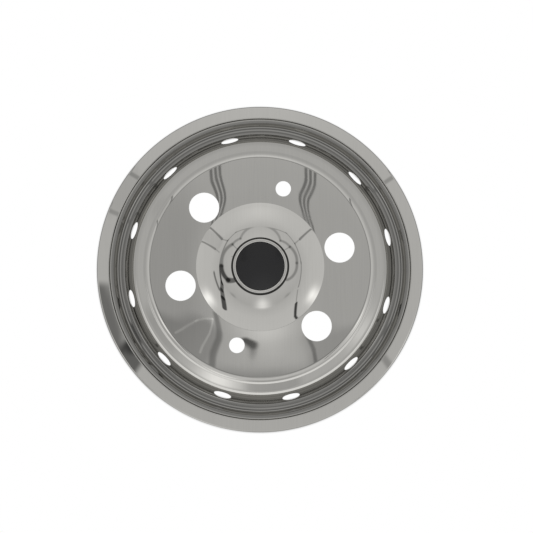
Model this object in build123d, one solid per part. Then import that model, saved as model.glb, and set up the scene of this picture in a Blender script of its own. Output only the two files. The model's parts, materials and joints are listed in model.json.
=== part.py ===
"""Truck wheel cover: one pressed bright steel shell with a black plug snapped into its hub.

The axis of the wheel is Z, and the face that shows on the truck points up. The cover stands
on its turned-down edge, so Z = 0 is the floor under that edge. The two stud holes lie on Y.
"""
import os
from math import atan2, degrees

from build123d import *

# Sheet and overall size, in millimetres
sheet_t = 0.8            # thickness of the steel sheet
cover_d = 459.0          # outside diameter, over the turned-down edge
channel_clear = 0.8      # gap between the underside of the channel and the floor

# Lip and channel, each width and height measured between sharp corners, from the edge inwards
lip_w = 17.6
lip_fall = 1.8           # the lip falls this much towards the edge
riser_w = 1.2
riser_h = 2.4
ledge_w = 4.7
ledge_fall = 0.5
channel_wall_w = 5.0
channel_wall_h = 6.0
channel_w = 10.1
channel_crown = 0.4      # low ridge along the middle of the channel's floor

# Slotted wall, shoulder and step up to the flat disc
slot_wall_w = 17.4
slot_wall_h = 27.9
shoulder_w = 14.2
shoulder_h = 8.9
step_w = 5.0
step_h = 6.0

# Hub in the middle of the disc, from the rolled rim outwards
hub_d = 74.8             # outside diameter of the hub's neck
rim_w = 5.6              # width of the rolled rim on top of the neck
rim_lip = 1.0            # straight end of the rolled rim, inside the neck
neck_h = 5.0             # from the foot of the neck to the top of the rim
flare_w = 9.4
flare_h = 2.2
crown_w = 22.0
crown_h = 2.7
dome_side_w = 18.2
dome_side_h = 6.8

# Bend radii of the visible face
edge_r = 3.0
lip_r = 1.8
riser_r = 1.2
ledge_r = 3.0
channel_r = 5.0
channel_crown_r = 4.0
foot_r = 6.0
shoulder_r = 30.0
step_r = 10.0
disc_r = 8.0
dome_foot_r = 3.0
dome_r = 120.0
flare_r = 60.0
neck_r = 1.5
rim_r = 2.4

# Vent slots in the sloping wall
slot_count = 12
slot_w = 24.5            # along the wall's circle
slot_h = 18.0            # up the wall's slope
slot_low = 11.9          # from the slot's middle down the slope to the corner of the channel

# Holes on the bolt circle: the wheel's nuts show through the large ones, two studs hold the cover
bolt_circle_d = 222.25
bolt_count = 6
stud_hole_step = 3       # every third hole takes a stud
nut_hole_d = 41.0
stud_hole_d = 21.0

# Centre plug, moulded plastic
plug_gap = 0.15          # clearance of the plug in the rolled rim
plug_flange = 0.6        # how far the plug's rim reaches over the opening
plug_edge_t = 0.4
plug_crown = 0.4
plug_wall = 1.6
plug_skirt_h = 10.0
snap_reach = 0.5         # how far the snap bead reaches under the rolled rim
snap_h = 1.2
finger_count = 6
finger_gap = 5.0

# Heights above the floor
floor_z = channel_clear + sheet_t
ledge_z = floor_z + channel_wall_h
riser_z = ledge_z + ledge_fall
lip_z = riser_z + riser_h
edge_z = lip_z - lip_fall
shoulder_z = floor_z + slot_wall_h
step_z = shoulder_z + shoulder_h
disc_z = step_z + step_h
dome_z = disc_z + dome_side_h
flare_z = dome_z + crown_h
neck_z = flare_z + flare_h
rim_z = neck_z + neck_h

# Radii of the corners, from the edge to the disc and from the neck to the disc
cover_r = cover_d / 2
lip_in = cover_r - lip_w
riser_in = lip_in - riser_w
ledge_in = riser_in - ledge_w
channel_out = ledge_in - channel_wall_w
channel_in = channel_out - channel_w
shoulder_out = channel_in - slot_wall_w
shoulder_in = shoulder_out - shoulder_w
disc_out = shoulder_in - step_w
neck_out = hub_d / 2
opening_r = neck_out - rim_w
flare_out = neck_out + flare_w
crown_out = flare_out + crown_w
dome_out = crown_out + dome_side_w


def spin(face):
    """Turn a profile drawn in radius and height about the wheel's axis."""
    return revolve(Plane.XZ * face, Axis.Z)


def shell_profile():
    """Section of the sheet: the visible face as straight runs and bends, thickened inwards."""
    rim_end = rim_z - rim_r - rim_lip
    corners = [
        (neck_out, rim_z, rim_r),
        (neck_out, neck_z, neck_r),
        (flare_out, flare_z, flare_r),
        (crown_out, dome_z, dome_r),
        (dome_out, disc_z, dome_foot_r),
        (disc_out, disc_z, disc_r),
        (shoulder_in, step_z, step_r),
        (shoulder_out, shoulder_z, shoulder_r),
        (channel_in, floor_z, foot_r),
        ((channel_in + channel_out) / 2, floor_z + channel_crown, channel_crown_r),
        (channel_out, floor_z, channel_r),
        (ledge_in, ledge_z, ledge_r),
        (riser_in, riser_z, riser_r),
        (lip_in, lip_z, lip_r),
        (cover_r, edge_z, edge_r),
    ]
    points = [(opening_r, rim_end), (opening_r, rim_z)]
    points += [(r, z) for r, z, bend in corners]
    points += [(cover_r, 0)]
    bends = [rim_r] + [bend for r, z, bend in corners]
    face_line = Wire(FilletPolyline(*points, radius=bends).edges())
    return make_face(face_line.offset_2d(sheet_t, side=Side.RIGHT).edges())


def slot_cutters():
    """Oval cutters that stand square on the sloping wall, one for each vent slot."""
    slope = degrees(atan2(slot_wall_h, slot_wall_w))
    up_wall = Vector(shoulder_out - channel_in, 0, shoulder_z - floor_z).normalized()
    middle = Vector(channel_in, 0, floor_z) + up_wall * slot_low
    wall = Plane(origin=middle, x_dir=(0, 1, 0), z_dir=Vector(1, 0, 0).rotate(Axis.Y, slope - 90))
    cutter = extrude(wall * Ellipse(slot_w / 2, slot_h / 2), amount=slot_wall_w / 2, both=True)
    return PolarLocations(0, slot_count) * cutter


def hole_cutters():
    """Round cutters on the bolt circle: two for the studs and the rest for the nuts."""
    cutters = []
    for i in range(bolt_count):
        hole_d = nut_hole_d if i % stud_hole_step else stud_hole_d
        place = Rot(0, 0, 90 + i * 360 / bolt_count) * Pos(bolt_circle_d / 2, 0, disc_z)
        cutters.append(place * Cylinder(hole_d / 2, 2 * disc_z))
    return cutters


def make_shell():
    """The pressed shell: a turned sheet with its vent slots and bolt holes pierced."""
    return spin(shell_profile()) - slot_cutters() - hole_cutters()


def make_plug():
    """The plug: a crowned cap that seats on the rolled rim, with a skirt of snap fingers."""
    skirt_r = opening_r - plug_gap
    flange_r = opening_r + plug_flange
    # The seat is a 45 degree cone that clears the rolled rim where it comes nearest
    seat_z = rim_z - rim_r + rim_r * (2 ** 0.5 - 1) + plug_gap * 2 ** 0.5
    flange_z = seat_z + plug_flange
    top_z = flange_z + plug_edge_t + plug_crown
    snap_top = rim_z - rim_r - rim_lip - plug_gap
    snap_r = opening_r + snap_reach
    bottom_z = top_z - plug_skirt_h
    ceiling_z = flange_z + plug_edge_t - plug_wall
    crown = ThreePointArc(
        (flange_r, flange_z + plug_edge_t), (0, top_z), (-flange_r, flange_z + plug_edge_t)
    ).trim(0, 0.5)
    outline = Polyline(
        (0, top_z),
        (0, ceiling_z),
        (skirt_r - plug_wall, ceiling_z),
        (skirt_r - plug_wall, bottom_z),
        (skirt_r, bottom_z),
        (skirt_r, snap_top - snap_h - snap_reach),
        (snap_r, snap_top - snap_h),
        (snap_r, snap_top),
        (skirt_r, snap_top),
        (skirt_r, seat_z - plug_gap),
        (flange_r, flange_z),
        (flange_r, flange_z + plug_edge_t),
    )
    cap = spin(make_face([crown, outline]))
    slit_h = snap_top - bottom_z
    slit = Pos(skirt_r, 0, bottom_z + slit_h / 2) * Box(4 * plug_wall, finger_gap, slit_h)
    return cap - PolarLocations(0, finger_count) * slit


os.makedirs("parts", exist_ok=True)
export_step(make_shell(), "parts/cover_shell.step")
export_step(make_plug(), "parts/centre_plug.step")
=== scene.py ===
"""Looks of the truck wheel cover: polished steel shell, glossy black plug, floor, light tent and camera.

Lengths are in metres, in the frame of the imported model: Z is the wheel's axis, the face that shows
points up, and the two stud holes lie on Y. Angles are in radians, apart from names that end in DEG
and the tent's directions, which are in degrees.
"""
import json
from math import asin, atan, ceil, cos, hypot, pi, radians, sin, tan

import bpy
import numpy as np
from mathutils import Matrix, Vector


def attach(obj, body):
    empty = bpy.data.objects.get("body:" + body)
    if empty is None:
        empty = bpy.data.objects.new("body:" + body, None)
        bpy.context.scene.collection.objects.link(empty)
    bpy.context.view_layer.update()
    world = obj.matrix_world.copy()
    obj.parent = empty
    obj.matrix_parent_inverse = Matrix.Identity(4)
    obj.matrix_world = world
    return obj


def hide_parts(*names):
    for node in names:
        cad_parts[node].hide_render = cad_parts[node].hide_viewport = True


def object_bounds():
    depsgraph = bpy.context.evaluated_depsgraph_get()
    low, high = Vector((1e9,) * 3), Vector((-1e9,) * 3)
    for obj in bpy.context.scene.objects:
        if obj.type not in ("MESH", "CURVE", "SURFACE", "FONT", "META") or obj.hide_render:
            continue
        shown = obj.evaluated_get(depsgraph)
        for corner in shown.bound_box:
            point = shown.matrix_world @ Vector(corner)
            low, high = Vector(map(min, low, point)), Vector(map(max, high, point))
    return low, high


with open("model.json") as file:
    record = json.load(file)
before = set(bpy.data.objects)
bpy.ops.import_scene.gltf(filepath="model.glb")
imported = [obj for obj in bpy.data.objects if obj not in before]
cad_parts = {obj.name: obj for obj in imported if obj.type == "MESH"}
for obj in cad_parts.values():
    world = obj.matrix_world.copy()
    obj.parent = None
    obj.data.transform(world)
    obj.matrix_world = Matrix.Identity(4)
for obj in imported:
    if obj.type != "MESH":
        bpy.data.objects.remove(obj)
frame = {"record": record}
cad_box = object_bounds()
scene = bpy.context.scene

MM = 0.001
# The picture's right is turned this far from X, about Z
PICTURE_TURN = radians(16.5)
MOUNTS = {mount["name"]: mount for mount in frame["record"]["mounts"]}

# Sheet, lip and channel, from the turned-down edge inwards
SHEET_T = 0.8 * MM
COVER_R = cad_box[1][0]
CHANNEL_CLEAR = 0.8 * MM
LIP_W, LIP_FALL = 17.6 * MM, 1.8 * MM
RISER_W, RISER_H = 1.2 * MM, 2.4 * MM
LEDGE_W, LEDGE_FALL = 4.7 * MM, 0.5 * MM
CHANNEL_WALL_W, CHANNEL_WALL_H = 5.0 * MM, 6.0 * MM
CHANNEL_W, CHANNEL_CROWN = 10.1 * MM, 0.4 * MM

# Slotted wall, shoulder and step up to the flat disc
SLOT_WALL_W, SLOT_WALL_H = 17.4 * MM, 27.9 * MM
SHOULDER_W, SHOULDER_H = 14.2 * MM, 8.9 * MM
STEP_W, STEP_H = 5.0 * MM, 6.0 * MM

# Hub, from the rolled rim outwards
HUB_R = 37.4 * MM
RIM_W, RIM_LIP = 5.6 * MM, 1.0 * MM
NECK_H = 6.2 * MM
FLARE_W, FLARE_H = 9.4 * MM, 1.4 * MM
CROWN_W, CROWN_H = 22.0 * MM, 2.3 * MM
DOME_SIDE_W, DOME_SIDE_H = 18.2 * MM, 6.8 * MM

# Vent slots: along the wall's circle, up its slope, and from their middle down to the channel's corner
SLOT_COUNT = 12
SLOT_W, SLOT_H = 24.5 * MM, 18.0 * MM
SLOT_LOW = 11.9 * MM

# Holes on the bolt circle
STUD_HOLES = MOUNTS["stud_holes"]["dims"]
NUT_HOLES = MOUNTS["nut_holes"]["dims"]
BOLT_COUNT = STUD_HOLES["count"] + NUT_HOLES["count"]
BOLT_R = STUD_HOLES["spacing_y_mm"] / 2 * MM
STUD_HOLE_R = STUD_HOLES["hole_r_mm"] * MM
NUT_HOLE_R = NUT_HOLES["hole_r_mm"] * MM

# Broken edges of the holes, and how far the mesh round them reaches: past the slots, and over the disc
CUT_EDGE_R = 0.25 * MM
SLOT_MARGIN = 2.2 * MM
HOLE_BAND = (88.2 * MM, 142.0 * MM)

# Plug
PLUG_GAP, PLUG_FLANGE = 0.15 * MM, 0.6 * MM
PLUG_EDGE_T, PLUG_CROWN = 0.4 * MM, 0.4 * MM
PLUG_WALL, PLUG_SKIRT_H = 1.6 * MM, 10.0 * MM
SNAP_REACH, SNAP_H = 0.5 * MM, 1.2 * MM
FINGER_COUNT, FINGER_GAP = 6, 5.0 * MM
PLUG_EDGE_R = 0.15 * MM

# Fineness of the meshes
COLUMN_DEG = 1.0
BEND_STEP = radians(12)
BEND_LENGTH = 4.0 * MM
SIDE_ROWS = 10
SEAM_GAP = 0.002 * MM
SEARCH_STEPS = 40001
ROUND_DIGITS = 9
ROUND_SLACK = 10 ** -ROUND_DIGITS
HOLE_RING_SHARES = (1.0, 0.7, 0.42, 0.2, 0.07)
CUT_EDGE_TURNS = np.radians(np.arange(0, 181, 30))
SLIT_COLUMNS, FINGER_COLUMNS = 7, 13

# Heights of the shell's corners
CHANNEL_Z = CHANNEL_CLEAR + SHEET_T
LEDGE_Z = CHANNEL_Z + CHANNEL_WALL_H
RISER_Z = LEDGE_Z + LEDGE_FALL
LIP_Z = RISER_Z + RISER_H
EDGE_Z = LIP_Z - LIP_FALL
SHOULDER_Z = CHANNEL_Z + SLOT_WALL_H
STEP_Z = SHOULDER_Z + SHOULDER_H
DISC_Z = STEP_Z + STEP_H
DOME_Z = DISC_Z + DOME_SIDE_H
FLARE_Z = DOME_Z + CROWN_H
NECK_Z = FLARE_Z + FLARE_H
RIM_Z = NECK_Z + NECK_H

# Radii of the shell's corners
LIP_IN = COVER_R - LIP_W
RISER_IN = LIP_IN - RISER_W
LEDGE_IN = RISER_IN - LEDGE_W
CHANNEL_OUT = LEDGE_IN - CHANNEL_WALL_W
CHANNEL_IN = CHANNEL_OUT - CHANNEL_W
SHOULDER_OUT = CHANNEL_IN - SLOT_WALL_W
SHOULDER_IN = SHOULDER_OUT - SHOULDER_W
DISC_OUT = SHOULDER_IN - STEP_W
OPENING_R = HUB_R - RIM_W
FLARE_OUT = HUB_R + FLARE_W
CROWN_OUT = FLARE_OUT + CROWN_W
DOME_OUT = CROWN_OUT + DOME_SIDE_W

# Bends of the visible face, from the rolled rim to the outer edge
RIM_BEND = 2.4 * MM
NECK_BEND = 1.5 * MM
FLARE_BEND = 300 * MM
DOME_BEND = 120 * MM
DOME_FOOT_BEND = 3 * MM
DISC_BEND = 11 * MM
STEP_BEND = 6 * MM
SHOULDER_BEND = 30 * MM
SLOT_WALL_BEND = 6 * MM
CHANNEL_CROWN_BEND = 4 * MM
CHANNEL_BEND = 5 * MM
LEDGE_BEND = 3 * MM
RISER_BEND = 1.2 * MM
LIP_BEND = 1.8 * MM
EDGE_BEND = 3 * MM

# The pressed disc is not quite flat: it sinks a little between these radii
DISC_WAVE = 0.2 * MM
DISC_WAVE_IN, DISC_WAVE_OUT = 96 * MM, 124 * MM
WAVE_IN_BEND, WAVE_OUT_BEND = 2300 * MM, 3000 * MM


def shell_corners():
    """Corners of the visible face as radius, height and bend, from the rolled rim to the edge."""
    return [
        (OPENING_R, RIM_Z - RIM_BEND - RIM_LIP, 0),
        (OPENING_R, RIM_Z, RIM_BEND),
        (HUB_R, RIM_Z, RIM_BEND),
        (HUB_R, NECK_Z, NECK_BEND),
        (FLARE_OUT, FLARE_Z, FLARE_BEND),
        (CROWN_OUT, DOME_Z, DOME_BEND),
        (DOME_OUT, DISC_Z + DISC_WAVE, DOME_FOOT_BEND),
        (DISC_WAVE_IN, DISC_Z + DISC_WAVE, WAVE_IN_BEND),
        (DISC_WAVE_OUT, DISC_Z, WAVE_OUT_BEND),
        (DISC_OUT, DISC_Z, DISC_BEND),
        (SHOULDER_IN, STEP_Z, STEP_BEND),
        (SHOULDER_OUT, SHOULDER_Z, SHOULDER_BEND),
        (CHANNEL_IN, CHANNEL_Z, SLOT_WALL_BEND),
        ((CHANNEL_IN + CHANNEL_OUT) / 2, CHANNEL_Z + CHANNEL_CROWN, CHANNEL_CROWN_BEND),
        (CHANNEL_OUT, CHANNEL_Z, CHANNEL_BEND),
        (LEDGE_IN, LEDGE_Z, LEDGE_BEND),
        (RISER_IN, RISER_Z, RISER_BEND),
        (LIP_IN, LIP_Z, LIP_BEND),
        (COVER_R, EDGE_Z, EDGE_BEND),
        (COVER_R, 0, 0),
    ]


class SectionLine:
    """Straight runs and tangent bends in radius and height, followed by the distance along them.

    The surface that a line stands for faces to the left of the way the line runs.
    """

    def __init__(self, corners):
        points = np.array([corner[:2] for corner in corners], float)
        bends = [corner[2] for corner in corners]
        legs = np.diff(points, axis=0)
        headings = np.arctan2(legs[:, 1], legs[:, 0])
        turns = (np.diff(headings) + pi) % (2 * pi) - pi
        cuts = [0] + [bend * tan(abs(turn) / 2) for bend, turn in zip(bends[1:], turns)] + [0]
        runs = []
        along = 0.0
        for i, heading in enumerate(headings):
            way = np.array((cos(heading), sin(heading)))
            start = points[i] + cuts[i] * way
            runs.append((along, *start, heading, 0.0))
            along += hypot(*legs[i]) - cuts[i] - cuts[i + 1]
            if cuts[i + 1]:
                bend_start = points[i + 1] - cuts[i + 1] * way
                runs.append((along, *bend_start, heading, np.sign(turns[i]) / bends[i + 1]))
                along += abs(turns[i]) * bends[i + 1]
        self.runs = np.array(runs)
        self.length = along

    def at(self, along):
        """Radius, height and heading at the given distances."""
        along = np.asarray(along, float)
        picked = np.searchsorted(self.runs[:, 0], along, side="right") - 1
        start, r, z, heading, curve = np.moveaxis(self.runs[picked], -1, 0)
        gone = along - start
        new_heading = heading + curve * gone
        bent = np.where(curve == 0, 1.0, curve)
        r_bent = r + (np.sin(new_heading) - np.sin(heading)) / bent
        z_bent = z - (np.cos(new_heading) - np.cos(heading)) / bent
        r_out = np.where(curve == 0, r + gone * np.cos(heading), r_bent)
        z_out = np.where(curve == 0, z + gone * np.sin(heading), z_bent)
        return r_out, z_out, new_heading

    def rows(self, first=0.0, last=None):
        """Distances at which the mesh has a row: the ends of runs and steps along the bends."""
        last = self.length if last is None else last
        starts, curves = self.runs[:, 0], self.runs[:, -1]
        ends = np.append(starts[1:], self.length)
        places = [first, last]
        for start, end, curve in zip(starts, ends, curves):
            steps = 1
            if curve:
                steps = ceil(max(abs(curve) * (end - start) / BEND_STEP, (end - start) / BEND_LENGTH))
            places.extend(np.linspace(start, end, steps + 1))
        places = np.unique(np.round(places, ROUND_DIGITS))
        return places[(places >= first - ROUND_SLACK) & (places <= last + ROUND_SLACK)]

    def find(self, radius, first=0.0):
        """Distance at which the line, past a first distance, crosses a radius."""
        tries = np.linspace(first, self.length, SEARCH_STEPS)
        r = self.at(tries)[0]
        crossing = np.argmax((r[:-1] - radius) * (r[1:] - radius) <= 0)
        return tries[crossing]


class Skin:
    """Faces gathered as patches of points in radius, angle and height, each with its own normal."""

    def __init__(self):
        self.places = []
        self.leans = []
        self.faces = []
        self.count = 0

    def patch(self, place, lean, closed=False):
        """Rows of points as quads; the rows run along the section and the columns along the angle."""
        rows, columns = place.shape[:2]
        number = np.arange(rows * columns).reshape(rows, columns) + self.count
        if closed:
            number = np.hstack([number, number[:, :1]])
        corners = (number[:-1, :-1], number[1:, :-1], number[1:, 1:], number[:-1, 1:])
        self.faces.extend(np.stack(corners, -1).reshape(-1, 4).tolist())
        self.places.append(place.reshape(-1, 3))
        self.leans.append(lean.reshape(-1, 3))
        self.count += rows * columns

    def polygon(self, place, lean):
        """One flat face."""
        self.faces.append(list(range(self.count, self.count + len(place))))
        self.places.append(place)
        self.leans.append(lean)
        self.count += len(place)

    def mesh(self, name):
        """A mesh whose corners carry their normals as lean: along the radius, the angle and Z."""
        r, angle, z = np.concatenate(self.places).T
        points = np.stack([r * np.cos(angle), r * np.sin(angle), z], -1)
        mesh = bpy.data.meshes.new(name)
        mesh.from_pydata(points.tolist(), [], self.faces)
        corner_points = np.zeros(len(mesh.loops), np.int32)
        mesh.loops.foreach_get("vertex_index", corner_points)
        lean = mesh.attributes.new("lean", "FLOAT_VECTOR", "CORNER")
        lean.data.foreach_set("vector", np.concatenate(self.leans)[corner_points].ravel())
        return mesh


def turned(line, rows, columns):
    """Places and normals of a section line turned through the given angles."""
    r, z, heading = line.at(rows)
    shape = (len(rows), len(columns))
    place = np.empty(shape + (3,))
    place[..., 0] = r[:, None]
    place[..., 1] = columns[None, :]
    place[..., 2] = z[:, None]
    lean = np.zeros(shape + (3,))
    lean[..., 0] = -np.sin(heading)[:, None]
    lean[..., 2] = np.cos(heading)[:, None]
    return place, lean


def sunk(place, lean, depth):
    """Places moved into the sheet, against their normals, which have no part along the angle."""
    return place - depth * lean


def sheet_rows(skin, line, rows, columns):
    """Both faces of the sheet along a stretch of the section."""
    place, lean = turned(line, rows, columns)
    skin.patch(place, lean)
    skin.patch(sunk(place, lean, SHEET_T)[::-1], -lean[::-1])


def sheet_end(skin, line, along, columns, at_outer_edge):
    """The cut end of the sheet, facing down: inside the rolled rim or under the outer edge."""
    place, lean = turned(line, np.array([along]), columns)
    ends = np.concatenate([place, sunk(place, lean, SHEET_T)])
    if not at_outer_edge:
        ends = ends[::-1]
    down = np.zeros_like(ends)
    down[..., 2] = -1
    skin.patch(ends, down)


def window_frame(rows, columns):
    """Border of a patch, clockwise as seen from above, as distances along the section and angles."""
    first, last = rows[0], rows[-1]
    left, right = columns[0], columns[-1]
    along = [np.full(len(columns) - 1, first), rows[:-1]]
    along += [np.full(len(columns) - 1, last), rows[:0:-1]]
    angle = [columns[:-1], np.full(len(rows) - 1, right)]
    angle += [columns[:0:-1], np.full(len(rows) - 1, left)]
    return np.concatenate(along), np.concatenate(angle)


def pierced_patch(skin, line, rows, columns, middle, half_along, half_across):
    """Both faces of the sheet round an oval hole, with the hole's wall and its slightly broken edges."""
    frame_along, frame_angle = window_frame(rows, columns)
    middle_along, middle_angle = middle
    reach_along = np.where(frame_along > middle_along, rows[-1] - middle_along, middle_along - rows[0])
    reach_angle = (columns[-1] - columns[0]) / 2
    around = np.arctan2(
        (frame_angle - middle_angle) / reach_angle, (frame_along - middle_along) / reach_along)

    middle_r, _, slope = line.at(middle_along)
    out_along = np.cos(around) / half_along
    out_across = np.sin(around) / half_across
    out_length = np.hypot(out_along, out_across)
    out_along, out_across = out_along / out_length, out_across / out_length

    def oval(grow):
        """The hole's outline in the plane that touches the sheet at its middle, grown evenly."""
        forward = middle_r + (half_along * np.cos(around) + grow * out_along) * cos(slope)
        across = half_across * np.sin(around) + grow * out_across
        bulge = np.hypot(forward, across) - forward
        along = half_along * np.cos(around) + grow * out_along + bulge * cos(slope)
        return middle_along + along, middle_angle + np.arctan2(across, forward)

    places, leans = [], []

    def ring(along, angle, depth, up, out):
        """Points round the hole at a depth in the sheet, with the shares of their normal up and outward."""
        r, z, heading = line.at(along)
        normal = np.stack([-np.sin(heading), np.zeros_like(r), np.cos(heading)], -1)
        aside = angle - middle_angle
        outward = np.stack([
            out_along * cos(slope) * np.cos(aside) + out_across * np.sin(aside),
            out_across * np.cos(aside) - out_along * cos(slope) * np.sin(aside),
            out_along * sin(slope)], -1)
        place = np.stack([r, angle, z], -1)
        places.append(place - depth * normal)
        leans.append(up * normal + out * outward)

    start_along, start_angle = oval(CUT_EDGE_R)
    for share in HOLE_RING_SHARES:
        ring(start_along + share * (frame_along - start_along),
             start_angle + share * (frame_angle - start_angle), 0, 1, 0)
    for turn in CUT_EDGE_TURNS:
        along, angle = oval(CUT_EDGE_R * (1 - sin(turn)))
        half = SHEET_T / 2 - CUT_EDGE_R
        side = np.sign(round(cos(turn), ROUND_DIGITS))
        depth = SHEET_T / 2 - side * half - CUT_EDGE_R * cos(turn)
        ring(along, angle, depth, cos(turn), -sin(turn))
    for share in reversed(HOLE_RING_SHARES):
        ring(start_along + share * (frame_along - start_along),
             start_angle + share * (frame_angle - start_angle), SHEET_T, -1, 0)
    skin.patch(np.stack(places), np.stack(leans), closed=True)


def sector_columns(sweep_deg):
    """Angles of a sector's columns, about its middle."""
    return np.radians(np.linspace(-sweep_deg / 2, sweep_deg / 2, round(sweep_deg / COLUMN_DEG) + 1))


def slotted_sector(line):
    """One vent's share of the shell: everything but the band of the disc that has the bolt holes."""
    columns = sector_columns(360 / SLOT_COUNT)
    wall_length = hypot(SLOT_WALL_W, SLOT_WALL_H)
    slot_r = CHANNEL_IN - SLOT_LOW * SLOT_WALL_W / wall_length
    slot_along = line.find(slot_r)
    slot_rows = slot_along + np.linspace(-1, 1, SIDE_ROWS + 1) * (SLOT_H / 2 + SLOT_MARGIN)
    band = [line.find(radius, first=line.find(DOME_OUT)) for radius in HOLE_BAND]
    skin = Skin()
    sheet_rows(skin, line, line.rows(0.0, band[0]), columns)
    sheet_rows(skin, line, line.rows(band[1], slot_rows[0]), columns)
    pierced_patch(skin, line, slot_rows, columns, (slot_along, 0.0), SLOT_H / 2, SLOT_W / 2)
    sheet_rows(skin, line, line.rows(slot_rows[-1]), columns)
    sheet_end(skin, line, 0.0, columns, at_outer_edge=False)
    sheet_end(skin, line, line.length, columns, at_outer_edge=True)
    return skin.mesh("slotted_sector")


def holed_half(line):
    """Half of the disc's holed band: a stud hole on Y and the nut holes after it."""
    hole_radii = [STUD_HOLE_R] + [NUT_HOLE_R] * (NUT_HOLES["count"] // STUD_HOLES["count"])
    columns = sector_columns(360 / BOLT_COUNT)
    band = [line.find(radius, first=line.find(DOME_OUT)) for radius in HOLE_BAND]
    rows = np.linspace(*band, SIDE_ROWS + 1)
    hole_along = line.find(BOLT_R, first=band[0])
    skin = Skin()
    for place, hole_r in enumerate(hole_radii):
        angle = radians(90 + place * 360 / BOLT_COUNT)
        pierced_patch(skin, line, rows, columns + angle, (hole_along, angle), hole_r, hole_r)
    return skin.mesh("holed_half")


def plug_corners():
    """The plug's section: its crown and skirt, the snap finger under them, and its inside."""
    skirt_r = OPENING_R - PLUG_GAP
    flange_r = OPENING_R + PLUG_FLANGE
    # The seat is a 45 degree cone that clears the rolled rim where it comes nearest
    seat_z = RIM_Z - RIM_BEND + RIM_BEND * (2 ** 0.5 - 1) + PLUG_GAP * 2 ** 0.5
    flange_z = seat_z + PLUG_FLANGE
    edge_z = flange_z + PLUG_EDGE_T
    top_z = edge_z + PLUG_CROWN
    bottom_z = top_z - PLUG_SKIRT_H
    snap_z = RIM_Z - RIM_BEND - RIM_LIP - PLUG_GAP
    snap_r = OPENING_R + SNAP_REACH
    inner_r = skirt_r - PLUG_WALL
    crown_r = (flange_r ** 2 + PLUG_CROWN ** 2) / (2 * PLUG_CROWN)
    cap = [
        (0, top_z, 0),
        (flange_r / 2, top_z, crown_r),
        (flange_r, edge_z, PLUG_EDGE_R),
        (flange_r, flange_z, PLUG_EDGE_R),
        (skirt_r, seat_z - PLUG_GAP, PLUG_EDGE_R),
    ]
    finger = [
        (skirt_r, snap_z, 0),
        (snap_r, snap_z, PLUG_EDGE_R),
        (snap_r, snap_z - SNAP_H, PLUG_EDGE_R),
        (skirt_r, snap_z - SNAP_H - SNAP_REACH, PLUG_EDGE_R),
        (skirt_r, bottom_z, PLUG_EDGE_R),
        (inner_r, bottom_z, PLUG_EDGE_R),
        (inner_r, snap_z, 0),
    ]
    inside = [
        (inner_r, edge_z - PLUG_WALL, PLUG_EDGE_R),
        (0, edge_z - PLUG_WALL, 0),
    ]
    return cap, finger, inside


def plug_sector():
    """One finger's share of the plug, with a slit in the middle of the sector."""
    cap, finger, inside = plug_corners()
    half_sector = pi / FINGER_COUNT
    half_slit = asin(FINGER_GAP / 2 / finger[0][0])
    slit = np.linspace(-half_slit, half_slit, SLIT_COLUMNS)
    left = np.linspace(-half_sector, -half_slit, FINGER_COLUMNS)
    right = np.linspace(half_slit, half_sector, FINGER_COLUMNS)
    whole = np.concatenate([left[:-1], slit, right[1:]])
    cap_line = SectionLine(cap + finger[:1])
    finger_line = SectionLine(finger)
    roof_line = SectionLine([finger[0], finger[-1]])
    inside_line = SectionLine(finger[-1:] + inside)
    skin = Skin()
    for line in (cap_line, inside_line):
        skin.patch(*turned(line, line.rows(), whole))
    skin.patch(*turned(roof_line, roof_line.rows(), slit))
    for columns in (left, right):
        skin.patch(*turned(finger_line, finger_line.rows(), columns))
    for angle, side in ((-half_slit, 1), (half_slit, -1)):
        place, lean = turned(finger_line, finger_line.rows(), np.array([angle]))
        across = np.zeros_like(lean[:, 0])
        across[:, 1] = side
        skin.polygon(place[::side, 0], across)
    return skin.mesh("plug_sector")


def add_node(tree, kind, sockets=None, **settings):
    """A node with its settings, and its inputs given as values or as other nodes' outputs."""
    node = tree.nodes.new(kind)
    for name, value in settings.items():
        setattr(node, name, value)
    for name, value in (sockets or {}).items():
        if isinstance(value, bpy.types.NodeSocket):
            tree.links.new(value, node.inputs[name])
        else:
            node.inputs[name].default_value = value
    return node


def maths(tree, operation, *terms):
    """Output of a math node."""
    return add_node(tree, "ShaderNodeMath", dict(enumerate(terms)), operation=operation).outputs[0]


def vector_math(tree, operation, *terms):
    """Vector output of a vector math node."""
    return add_node(tree, "ShaderNodeVectorMath", dict(enumerate(terms)), operation=operation).outputs[0]


def measure(tree, operation, *terms):
    """Number output of a vector math node."""
    sockets = dict(enumerate(terms))
    return add_node(tree, "ShaderNodeVectorMath", sockets, operation=operation).outputs["Value"]


def scaled(tree, vector, scale):
    """A vector times a number."""
    return add_node(tree, "ShaderNodeVectorMath", {0: vector, "Scale": scale}, operation="SCALE").outputs[0]


def flattened(tree, vector):
    """A vector without its part along Z."""
    return vector_math(tree, "MULTIPLY", vector, (1, 1, 0))


def turned_to_picture(tree, vector):
    """A vector with its X and Y towards the picture's right and top."""
    return add_node(tree, "ShaderNodeVectorRotate", {"Vector": vector, "Angle": -PICTURE_TURN},
                    rotation_type="Z_AXIS").outputs[0]


def smooth_step(tree, value, start, end, low, high):
    """A smooth change from low to high while a value goes from start to end."""
    return add_node(tree, "ShaderNodeMapRange", {
        "Value": value, "From Min": start, "From Max": end, "To Min": low, "To Max": high},
        interpolation_type="SMOOTHSTEP").outputs[0]


def object_place(tree):
    """Place of a point in its object's own frame."""
    return add_node(tree, "ShaderNodeTexCoord").outputs["Object"]


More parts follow.
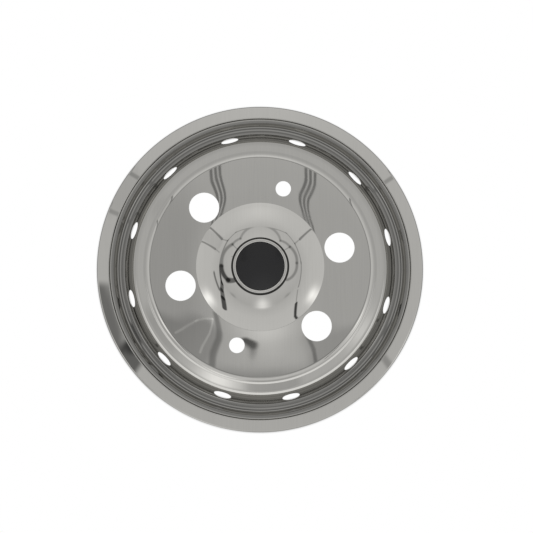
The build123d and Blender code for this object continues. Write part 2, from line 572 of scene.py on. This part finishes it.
def new_group(name, kind, inputs, outputs):
    """A node group with named sockets, and its input and output nodes."""
    tree = bpy.data.node_groups.new(name, kind)
    for label, socket in inputs.items():
        tree.interface.new_socket(label, in_out="INPUT", socket_type="NodeSocket" + socket)
    for label, socket in outputs.items():
        tree.interface.new_socket(label, in_out="OUTPUT", socket_type="NodeSocket" + socket)
    return tree, tree.nodes.new("NodeGroupInput").outputs, tree.nodes.new("NodeGroupOutput").inputs


def effect(tree, group, values):
    """Output of a shared effect, with its inputs given as values or as other nodes' outputs."""
    return add_node(tree, "ShaderNodeGroup", values, node_tree=group).outputs[0]


def polar_pattern_tree():
    """Copies of a sector, turned about the wheel's axis until they close the circle."""
    inputs = {"Sector": "Geometry", "Count": "Int"}
    tree, given, result = new_group("polar_pattern", "GeometryNodeTree", inputs, {"Ring": "Geometry"})
    points = add_node(tree, "GeometryNodePoints", {"Count": given["Count"]})
    index = add_node(tree, "GeometryNodeInputIndex")
    step = maths(tree, "DIVIDE", 2 * pi, given["Count"])
    angle = maths(tree, "MULTIPLY", index.outputs[0], step)
    euler = add_node(tree, "ShaderNodeCombineXYZ", {"Z": angle})
    turn = add_node(tree, "FunctionNodeEulerToRotation", {"Euler": euler.outputs[0]})
    copies = add_node(tree, "GeometryNodeInstanceOnPoints", {
        "Points": points.outputs[0], "Instance": given["Sector"], "Rotation": turn.outputs[0]})
    tree.links.new(copies.outputs[0], result["Ring"])
    return tree


def turned_piece_tree(pattern):
    """A piece made of two patterns about the wheel's axis, welded along their seams."""
    inputs = {
        "Sector": "Geometry", "Sector count": "Int", "Band": "Object", "Band count": "Int",
        "Seam gap": "Float", "Finish": "Material"}
    tree, given, result = new_group("turned_piece", "GeometryNodeTree", inputs, {"Piece": "Geometry"})
    band = add_node(tree, "GeometryNodeObjectInfo", {"Object": given["Band"]})
    joined = add_node(tree, "GeometryNodeJoinGeometry")
    for source, count in ((given["Sector"], "Sector count"), (band.outputs["Geometry"], "Band count")):
        sockets = {"Sector": source, "Count": given[count]}
        ring = add_node(tree, "GeometryNodeGroup", sockets, node_tree=pattern)
        tree.links.new(ring.outputs["Ring"], joined.inputs[0])
    real = add_node(tree, "GeometryNodeRealizeInstances", {"Geometry": joined.outputs[0]})
    welded = add_node(tree, "GeometryNodeMergeByDistance", {
        "Geometry": real.outputs[0], "Distance": given["Seam gap"]})
    dressed = add_node(tree, "GeometryNodeSetMaterial", {
        "Geometry": welded.outputs[0], "Material": given["Finish"]})
    tree.links.new(dressed.outputs[0], result["Piece"])
    return tree


def new_object(name, data):
    """An object in the scene, with its mesh or camera."""
    thing = bpy.data.objects.new(name, data)
    scene.collection.objects.link(thing)
    return thing


def turned_piece(name, tree, finish, sector, count, band=None, band_count=1):
    """A plain mesh object from a turned pattern, with the normals that its corners carry."""
    source = new_object(name + "_sector", sector)
    band_object = new_object(name + "_band", band) if band else None
    modifier = source.modifiers.new("pattern", "NODES")
    modifier.node_group = tree
    values = {
        "Sector count": count, "Band": band_object, "Band count": band_count,
        "Seam gap": SEAM_GAP, "Finish": finish}
    for item in tree.interface.items_tree:
        if item.name in values and values[item.name] is not None:
            modifier[item.identifier] = values[item.name]
    source.update_tag()
    graph = bpy.context.evaluated_depsgraph_get()
    mesh = bpy.data.meshes.new_from_object(source.evaluated_get(graph), depsgraph=graph)
    mesh.name = name
    source.modifiers.remove(modifier)
    for helper in (source, band_object):
        if helper:
            bpy.data.objects.remove(helper)
    set_normals(mesh)
    return new_object(name, mesh)


def set_normals(mesh):
    """Turn each corner's lean into its normal, so that reflections run smoothly over the bends."""
    points = np.zeros(len(mesh.vertices) * 3, np.float32)
    mesh.vertices.foreach_get("co", points)
    points = points.reshape(-1, 3)
    corner_points = np.zeros(len(mesh.loops), np.int32)
    mesh.loops.foreach_get("vertex_index", corner_points)
    lean = np.zeros(len(mesh.loops) * 3, np.float32)
    mesh.attributes["lean"].data.foreach_get("vector", lean)
    along_r, along_angle, along_z = lean.reshape(-1, 3).T
    angle = np.arctan2(points[:, 1], points[:, 0])[corner_points]
    x = along_r * np.cos(angle) - along_angle * np.sin(angle)
    y = along_r * np.sin(angle) + along_angle * np.cos(angle)
    mesh.attributes.remove(mesh.attributes["lean"])
    mesh.shade_smooth()
    mesh.normals_split_custom_set(np.stack([x, y, along_z], -1).tolist())


# Level that a noise swings about, and the levels of noise between which a smudge comes up
NOISE_MIDDLE = 0.5
SMUDGE_START, SMUDGE_FULL = 0.45, 0.75


def sheet_waves_group():
    """Slight unevenness of a pressed or moulded face, as a height."""
    inputs = {"Wave size": "Float", "Wave height": "Float"}
    tree, given, result = new_group("sheet_waves", "ShaderNodeTree", inputs, {"Height": "Float"})
    scale = maths(tree, "DIVIDE", 1.0, given["Wave size"])
    waves = add_node(tree, "ShaderNodeTexNoise", {
        "Vector": object_place(tree), "Scale": scale, "Detail": 1.0})
    tree.links.new(maths(tree, "MULTIPLY", waves.outputs[0], given["Wave height"]), result["Height"])
    return tree


def smudge_group():
    """Cloudy patches of handling marks, as a roughness."""
    inputs = {"Clean": "Float", "Smudged": "Float", "Patch size": "Float"}
    tree, given, result = new_group("smudges", "ShaderNodeTree", inputs, {"Roughness": "Float"})
    scale = maths(tree, "DIVIDE", 1.0, given["Patch size"])
    patches = add_node(tree, "ShaderNodeTexNoise", {
        "Vector": object_place(tree), "Scale": scale, "Detail": 5.0})
    share = add_node(tree, "ShaderNodeMapRange", {
        "Value": patches.outputs[0], "From Min": SMUDGE_START, "From Max": SMUDGE_FULL,
        "To Min": given["Clean"], "To Max": given["Smudged"]})
    tree.links.new(share.outputs[0], result["Roughness"])
    return tree


def rolling_streaks_group():
    """Fine streaks that the mill leaves along the sheet, as a shade about 1."""
    inputs = {"Streak width": "Float", "Streak length": "Float", "Strength": "Float"}
    tree, given, result = new_group("rolling_streaks", "ShaderNodeTree", inputs, {"Shade": "Float"})
    along_mill = turned_to_picture(tree, object_place(tree))
    size = add_node(tree, "ShaderNodeCombineXYZ", {
        "X": given["Streak width"], "Y": given["Streak length"], "Z": given["Streak length"]}).outputs[0]
    stretched = vector_math(tree, "DIVIDE", along_mill, size)
    streaks = add_node(tree, "ShaderNodeTexNoise", {"Vector": stretched, "Scale": 1.0, "Detail": 3.0})
    swing = maths(tree, "SUBTRACT", streaks.outputs[0], NOISE_MIDDLE)
    tree.links.new(maths(tree, "MULTIPLY_ADD", swing, given["Strength"], 1.0), result["Shade"])
    return tree


def axis_distance(tree):
    """Distance from the wheel's axis."""
    return measure(tree, "LENGTH", flattened(tree, object_place(tree)))


def ring_mask_group():
    """Mask of a ring about the wheel's axis, with soft borders."""
    inputs = {"Radius": "Float", "Half width": "Float", "Softness": "Float"}
    tree, given, result = new_group("ring_mask", "ShaderNodeTree", inputs, {"Mask": "Float"})
    apart = maths(tree, "ABSOLUTE", maths(tree, "SUBTRACT", axis_distance(tree), given["Radius"]))
    border = maths(tree, "ADD", given["Half width"], given["Softness"])
    tree.links.new(smooth_step(tree, apart, given["Half width"], border, 1.0, 0.0), result["Mask"])
    return tree


def die_rings_and_painted_reflections_group(ring_mask):
    """Fine rings on a stretch of the sheet, as a shade about 1: die rings, with light and dark reflection
    rings painted in.
    """
    inputs = {
        "Radius": "Float", "Half width": "Float", "Softness": "Float", "Pitch": "Float", "Strength": "Float"}
    tree, given, result = new_group("die_rings_and_painted_reflections", "ShaderNodeTree", inputs, {"Shade": "Float"})
    mask = effect(tree, ring_mask, {name: given[name] for name in ("Radius", "Half width", "Softness")})
    strength = maths(tree, "MULTIPLY", mask, given["Strength"])
    step = maths(tree, "DIVIDE", axis_distance(tree), given["Pitch"])
    rings = add_node(tree, "ShaderNodeTexNoise", {
        "W": step, "Scale": 1.0, "Detail": 2.0}, noise_dimensions="1D")
    swing = maths(tree, "SUBTRACT", rings.outputs[0], NOISE_MIDDLE)
    tree.links.new(maths(tree, "MULTIPLY_ADD", swing, strength, 1.0), result["Shade"])
    return tree


def new_material(name):
    """A material, its node tree and its shader."""
    material = bpy.data.materials.new(name)
    material.use_nodes = True
    tree = material.node_tree
    return material, tree, tree.nodes["Principled BSDF"]


def finish_surface(tree, shader, groups, waves, smudges):
    """Give a shader the shared unevenness and handling marks."""
    height = effect(tree, groups["waves"], waves)
    bump = add_node(tree, "ShaderNodeBump", {"Height": height, "Distance": 1.0})
    tree.links.new(bump.outputs[0], shader.inputs["Normal"])
    tree.links.new(effect(tree, groups["smudges"], smudges), shader.inputs["Roughness"])


# Polished steel: its tint, unevenness, handling marks, mill streaks and the channel's drawing die rings,
# with light and dark reflection rings painted into them
STEEL_COLOUR = (0.64, 0.63, 0.60)
STEEL_WAVES = {"Wave size": 60 * MM, "Wave height": 0.05 * MM}
STEEL_SMUDGES = {"Clean": 0.012, "Smudged": 0.035, "Patch size": 50 * MM}
MILL_STREAKS = {"Streak width": 1.6 * MM, "Streak length": 60 * MM, "Strength": 0.09}
# Rings in the channel: die rings, with light and dark reflection rings painted in
DIE_RINGS_AND_PAINTED_REFLECTIONS = {
    "Radius": (SHOULDER_OUT + LIP_IN) / 2, "Half width": 14 * MM, "Softness": 6 * MM,
    "Pitch": 2.2 * MM, "Strength": 1.5}

# Rings where the steel's base colour is darker, as radius, half width, softness and how much darker:
# painted shade in the channel, at the disc's bend, the neck's foot, the riser and the outer edge; the lip a
# little darker all round
# Painted shade over the recessed channel, between the slotted wall and the lip
CHANNEL_PAINTED_SHADE = ((CHANNEL_IN + LEDGE_IN) / 2 + 1.5 * MM, 7.5 * MM, 4 * MM, 0.58)
# The lip's base colour a little darker all round
LIP_DARKER = ((LIP_IN + COVER_R) / 2, 9 * MM, 1 * MM, 0.08)
# Painted shade: a dark line on the disc where it bends down to the step
DISC_EDGE_LINE = (DISC_OUT - 4.2 * MM, 0.35 * MM, 0.5 * MM, 0.4)
# Painted shade in the crease at the foot of the neck
NECK_PAINTED_SHADE = (HUB_R + 0.3 * MM, 1.2 * MM, 0.5 * MM, 0.95)
# Painted shade along the riser's crease
RISER_PAINTED_SHADE = (RISER_IN + RISER_W / 2, 0.5 * MM, 0.6 * MM, 0.6)
# Painted shade: a dark line along the outer edge's bend
OUTER_EDGE_LINE = (COVER_R, 0.5 * MM, 1.0 * MM, 0.5)
STEEL_RINGS = (CHANNEL_PAINTED_SHADE, LIP_DARKER, DISC_EDGE_LINE, NECK_PAINTED_SHADE, RISER_PAINTED_SHADE, OUTER_EDGE_LINE)


def polished_steel(groups):
    """Bright rolled stainless sheet, polished to a mirror, with painted shade darker in the drawn channel
    and the creases.
    """
    material, tree, shader = new_material("polished_steel")
    shader.inputs["Metallic"].default_value = 1.0
    streaks = effect(tree, groups["streaks"], MILL_STREAKS)
    # Mill streaks, and the channel's die rings with painted reflection rings
    shade = maths(tree, "MULTIPLY", streaks, effect(tree, groups["die_rings_and_painted_reflections"], DIE_RINGS_AND_PAINTED_REFLECTIONS))
    # Painted shade: each ring darkens the base colour
    for radius, half_width, softness, darkness in STEEL_RINGS:
        ring = effect(tree, groups["ring_mask"], {
            "Radius": radius, "Half width": half_width, "Softness": softness})
        shade = maths(tree, "MULTIPLY", shade, maths(tree, "MULTIPLY_ADD", ring, -darkness, 1.0))
    tree.links.new(scaled(tree, STEEL_COLOUR, shade), shader.inputs["Base Color"])
    finish_surface(tree, shader, groups, STEEL_WAVES, STEEL_SMUDGES)
    return material


# Black plastic: its colour, unevenness and handling marks
PLASTIC_COLOUR = (0.012, 0.012, 0.013, 1)
PLASTIC_IOR = 1.5
PLASTIC_WAVES = {"Wave size": 20 * MM, "Wave height": 0.02 * MM}
PLASTIC_SMUDGES = {"Clean": 0.06, "Smudged": 0.14, "Patch size": 20 * MM}


def black_plastic(groups):
    """Glossy moulded plastic of the plug."""
    material, tree, shader = new_material("black_plastic")
    shader.inputs["Base Color"].default_value = PLASTIC_COLOUR
    shader.inputs["IOR"].default_value = PLASTIC_IOR
    finish_surface(tree, shader, groups, PLASTIC_WAVES, PLASTIC_SMUDGES)
    return material


# Light tent: its level by degrees from straight up. Its places are degrees from straight up too, taken
# towards the picture's right and top
TENT_LEVELS = ((0, 0.50), (9, 0.52), (16, 0.62), (28, 0.70), (45, 0.72), (62, 0.62), (80, 0.54), (100, 0.52))

# Lines of the tent as start, end, half width, softness and darkness, which is below 0 on a light line

# Upright corner on the right, the two folds at the one on the left and the duller cloth between them
CORNER_SEAMS = (
    ((13.9, 12.0), (21, 17.3), 0.1, 0.4, 0.35),
    ((21, 17.3), (52, 43), 0.3, 0.7, 0.55),
    ((-13.0, 13.3), (-19.6, 17.0), 0.1, 0.4, 0.35),
    ((-19.6, 17.0), (-50, 43.5), 0.3, 0.7, 0.55),
    ((-18, 9.2), (-24, 12.3), 0.1, 0.4, 0.3),
    ((-24, 12.3), (-58, 29.6), 0.25, 0.6, 0.5),
    ((-22, 15.0), (-50, 33.6), 3.0, 2.5, 0.12),
)
# Edges of the ceiling
CEILING_EDGES = (
    ((-13.0, 13.3), (-10.0, 17.0), 0.15, 0.7, 0.4),
    ((-10.0, 17.0), (11.0, 17.0), 0.15, 0.7, 0.35),
    ((11.0, 17.0), (13.9, 12.0), 0.15, 0.7, 0.4),
    ((-13.0, 13.3), (-15.4, 3.0), 0.25, 0.9, 0.5),
    ((13.9, 12.0), (16.0, 4.4), 0.2, 0.8, 0.45),
    ((16.0, 4.4), (17.0, -6.0), 0.2, 0.8, 0.45),
)
# Gaps on both sides of the front flap
FRONT_GAPS = (
    ((-15.1, 3.0), (-15.6, -4.0), 0.5, 0.8, 0.85),
    ((-15.6, -4.0), (-18.4, -8.6), 0.9, 0.9, 0.72),
    ((-18.4, -8.6), (-20.4, -14.5), 1.2, 1.0, 0.72),
    ((-20.4, -14.5), (-23.0, -24.0), 1.3, 1.2, 0.85),
    ((-23.4, -0.5), (-20.9, -8.7), 0.4, 1.4, 0.65),
    ((17.5, -8.0), (21.5, -19.0), 0.15, 0.6, 0.35),
    ((21.5, -19.0), (25.5, -33.0), 0.5, 1.2, 0.9),
)
# Duller stretches low on the walls
DULL_STRETCHES = (
    ((-50, -36), (-58, -26), 6.0, 10.0, 0.22),
    ((-54, 26), (-54, 36), 5.0, 10.0, 0.15),
    ((2, -70), (14, -68), 7.0, 8.0, 0.18),
)
# Duller cloth on the left, the dark front of the slit and the light edge of its folded cloth
SLIT_CLOTH = (
    ((-7.5, 7), (-7.5, -1), 1.0, 3.5, 0.15),
    ((-9, -6.6), (9, -6.6), 0.4, 2.4, 0.6),
    ((-5.1, -3.0), (-9.5, -1.6), 1.2, 1.0, 0.3),
    ((-3.25, -0.6), (-3.5, -4.6), 0.1, 0.3, 0.45),
    ((3.8, -2.0), (4.1, -4.4), 0.05, 0.2, 0.45),
    ((5.2, -3.6), (9.5, -2.4), 1.2, 1.0, 0.2),
    ((-1.2, -3.2), (-0.6, -3.6), 0.15, 0.5, 0.8),
    ((-6.1, -1.97), (-5.16, -1.57), 0.04, 0.08, -0.35),
    ((-5.16, -1.57), (-3.72, -1.25), 0.04, 0.08, -0.35),
    ((-3.72, -1.25), (-4.35, -3.3), 0.04, 0.08, -0.35),
)
# Piping along the slit overhead: where its lines start across the picture, and how far each leans
PIPING_LEFT, PIPING_LEFT_LEAN = (-3.45, -3.12, -2.8), -0.25
PIPING_RIGHT, PIPING_RIGHT_LEAN = (3.25, 3.57, 3.9), 0.15
PIPING_START, PIPING_END = 4, 14
PIPING_LINE = (0.05, 0.1, 0.6)


def piping_seams():
    """Lines of piping on both sides of the slit overhead."""
    sides = ((PIPING_LEFT, PIPING_LEFT_LEAN), (PIPING_RIGHT, PIPING_RIGHT_LEAN))
    return tuple(
        ((across, PIPING_START), (across + lean, PIPING_END), *PIPING_LINE)
        for places, lean in sides for across in places)


TENT_SEAMS = CORNER_SEAMS + CEILING_EDGES + FRONT_GAPS + DULL_STRETCHES + SLIT_CLOTH + piping_seams()

# Lamps that shine through the cloth, as middle, radius and added level
TENT_GLOWS = (
    ((-37, -19.5), 6.0, 0.7),
    ((37, -17), 6.0, 0.7),
    ((1.0, -12.4), 2.6, 0.5),
    ((0, 38), 14.0, 0.12),
    ((0.5, -1.8), 2.4, 0.3),
    ((56, -32), 12.0, 0.35),
    ((-27, -68), 14.0, 0.6),
)


def tent_seam_group():
    """Shade along a straight seam of the tent, 1 away from it."""
    inputs = {
        "Place": "Vector", "Start": "Vector", "End": "Vector",
        "Half width": "Float", "Softness": "Float", "Darkness": "Float"}
    tree, given, result = new_group("tent_seam", "ShaderNodeTree", inputs, {"Shade": "Float"})
    way = vector_math(tree, "SUBTRACT", given["End"], given["Start"])
    reach = vector_math(tree, "SUBTRACT", given["Place"], given["Start"])
    along = measure(tree, "DOT_PRODUCT", reach, way)
    run = maths(tree, "DIVIDE", along, measure(tree, "DOT_PRODUCT", way, way))
    held = add_node(tree, "ShaderNodeClamp", {"Value": run}).outputs[0]
    apart = measure(tree, "DISTANCE", reach, scaled(tree, way, held))
    border = maths(tree, "ADD", given["Half width"], given["Softness"])
    darkest = maths(tree, "SUBTRACT", 1.0, given["Darkness"])
    tree.links.new(smooth_step(tree, apart, given["Half width"], border, darkest, 1.0), result["Shade"])
    return tree


def sky_place(tree):
    """Where a ray meets the tent, as seen in the picture, and how many degrees that is from straight up."""
    ray = turned_to_picture(tree, add_node(tree, "ShaderNodeTexCoord").outputs["Generated"])
    height = add_node(tree, "ShaderNodeSeparateXYZ", {0: ray}).outputs["Z"]
    lean = maths(tree, "DEGREES", maths(tree, "ARCCOSINE", height))
    place = scaled(tree, vector_math(tree, "NORMALIZE", flattened(tree, ray)), lean)
    return place, lean


def white_share(tree):
    """1 for the rays that look at the floor, straight, in a reflection or through something clear."""
    path = add_node(tree, "ShaderNodeLightPath").outputs
    seen = maths(tree, "MAXIMUM", path["Is Camera Ray"], path["Is Glossy Ray"])
    return maths(tree, "MAXIMUM", seen, path["Is Transmission Ray"])


def light_tent():
    """Soft white tent all round, with its seams and the glow of its lamps; plain white to the camera."""
    world = bpy.data.worlds.new("light_tent")
    scene.world = world
    world.use_nodes = True
    tree = world.node_tree
    place, lean = sky_place(tree)
    farthest = TENT_LEVELS[-1][0]
    ramp = add_node(tree, "ShaderNodeValToRGB", {0: maths(tree, "DIVIDE", lean, farthest)})
    stops = ramp.color_ramp.elements
    while len(stops) < len(TENT_LEVELS):
        stops.new(0.5)
    for stop, (angle, level) in zip(stops, TENT_LEVELS):
        stop.position = angle / farthest
        stop.color = (level, level, level, 1)
    light = ramp.outputs["Color"]
    for middle, radius, level in TENT_GLOWS:
        share = maths(tree, "DIVIDE", measure(tree, "DISTANCE", place, (*middle, 0)), radius)
        fade = maths(tree, "EXPONENT", maths(tree, "MULTIPLY", maths(tree, "MULTIPLY", share, share), -1.0))
        light = maths(tree, "MULTIPLY_ADD", fade, level, light)
    seam_group = tent_seam_group()
    for start, end, half_width, softness, darkness in TENT_SEAMS:
        shade = effect(tree, seam_group, {
            "Place": place, "Start": (*start, 0), "End": (*end, 0),
            "Half width": half_width, "Softness": softness, "Darkness": darkness})
        light = maths(tree, "MULTIPLY", light, shade)
    camera_ray = add_node(tree, "ShaderNodeLightPath").outputs["Is Camera Ray"]
    shown = add_node(tree, "ShaderNodeMix", {0: camera_ray, 2: light, 3: 1.0}).outputs[0]
    tree.links.new(shown, tree.nodes["Background"].inputs["Color"])


# Floor: its size, its place just under the edge, its colour and how near the cover darkens it. In the
# steel it shows painted light, in the first tone, rising to the second from the middle to this far towards
# the front
FLOOR_HALF = 4.0
FLOOR_DROP = 0.2 * MM
FLOOR_COLOUR = (0.8, 0.8, 0.8, 1)
FLOOR_SHADOW = 3.5 * MM
FLOOR_PAINTED_TONES = (0.5, 1.0)
FLOOR_TONE_REACH = 0.3


def white_floor():
    """White floor that darkens close under the cover; to the steel it shows painted light, brightest at its
    front.
    """
    mesh = bpy.data.meshes.new("floor")
    corners = ((-1, -1), (1, -1), (1, 1), (-1, 1))
    points = [(x * FLOOR_HALF, y * FLOOR_HALF, -FLOOR_DROP) for x, y in corners]
    mesh.from_pydata(points, [], [(0, 1, 2, 3)])
    material = bpy.data.materials.new("white_floor")
    material.use_nodes = True
    tree = material.node_tree
    tree.nodes.remove(tree.nodes["Principled BSDF"])
    towards_front = (sin(PICTURE_TURN), -cos(PICTURE_TURN), 0)
    front = measure(tree, "DOT_PRODUCT", object_place(tree), towards_front)
    # Painted light: in the steel's reflection the floor is lighter towards the front
    tone = smooth_step(tree, front, 0.0, FLOOR_TONE_REACH, *FLOOR_PAINTED_TONES)
    straight = add_node(tree, "ShaderNodeLightPath").outputs["Is Camera Ray"]
    strength = add_node(tree, "ShaderNodeMix", {0: straight, 2: tone, 3: 1.0}).outputs[0]
    near = add_node(tree, "ShaderNodeAmbientOcclusion", {"Distance": FLOOR_SHADOW}, samples=16)
    seen = add_node(tree, "ShaderNodeEmission", {"Color": near.outputs["Color"], "Strength": strength})
    lit = add_node(tree, "ShaderNodeBsdfDiffuse", {"Color": FLOOR_COLOUR})
    mixed = add_node(tree, "ShaderNodeMixShader", {
        0: white_share(tree), 1: lit.outputs[0], 2: seen.outputs[0]})
    tree.links.new(mixed.outputs[0], tree.nodes["Material Output"].inputs["Surface"])
    mesh.materials.append(material)
    return new_object("floor", mesh)


# Camera, as pixels of the square picture turned into lengths at the lip's height
PICTURE_PX = 533
LIP_SCALE = 1.4029 * MM
CAMERA_FAR = 1.1
CAMERA_TILT = radians(2.9)
CAMERA_LEFT = radians(0.47)
AIM_RIGHT_PX = 6.3
AIM_UP_PX = 1.35


def picture_camera():
    """Camera almost straight above the cover, set back towards the bottom left of the picture."""
    right = Vector((cos(PICTURE_TURN), sin(PICTURE_TURN), 0))
    up = Vector((-sin(PICTURE_TURN), cos(PICTURE_TURN), 0))
    above = Vector((0, 0, 1))
    aim = (right * AIM_RIGHT_PX + up * AIM_UP_PX) * LIP_SCALE + above * LIP_Z
    back = (above - up * tan(CAMERA_TILT) - right * tan(CAMERA_LEFT)).normalized()
    side = (right - back * right.dot(back)).normalized()
    data = bpy.data.cameras.new("camera")
    data.sensor_fit = "HORIZONTAL"
    data.angle = 2 * atan(PICTURE_PX * LIP_SCALE / 2 / CAMERA_FAR)
    camera = new_object("camera", data)
    axes = Matrix((side, back.cross(side), back)).transposed().to_4x4()
    camera.matrix_world = Matrix.Translation(aim + back * CAMERA_FAR) @ axes
    scene.camera = camera


scene.view_settings.view_transform = "Standard"
ring_mask = ring_mask_group()
effect_groups = {
    "waves": sheet_waves_group(), "smudges": smudge_group(), "streaks": rolling_streaks_group(),
    "ring_mask": ring_mask, "die_rings_and_painted_reflections": die_rings_and_painted_reflections_group(ring_mask)}
piece_tree = turned_piece_tree(polar_pattern_tree())
shell_line = SectionLine(shell_corners())

shell = turned_piece(
    "polished_shell", piece_tree, polished_steel(effect_groups),
    slotted_sector(shell_line), SLOT_COUNT, holed_half(shell_line), STUD_HOLES["count"])
plug = turned_piece(
    "glossy_plug", piece_tree, black_plastic(effect_groups), plug_sector(), FINGER_COUNT)
for piece, node, slot in ((shell, "cover_shell", "polished_steel"), (plug, "centre_plug", "black_plastic")):
    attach(piece, "root")
    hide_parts(node)

light_tent()
white_floor()
picture_camera()

bpy.context.view_layer.update()
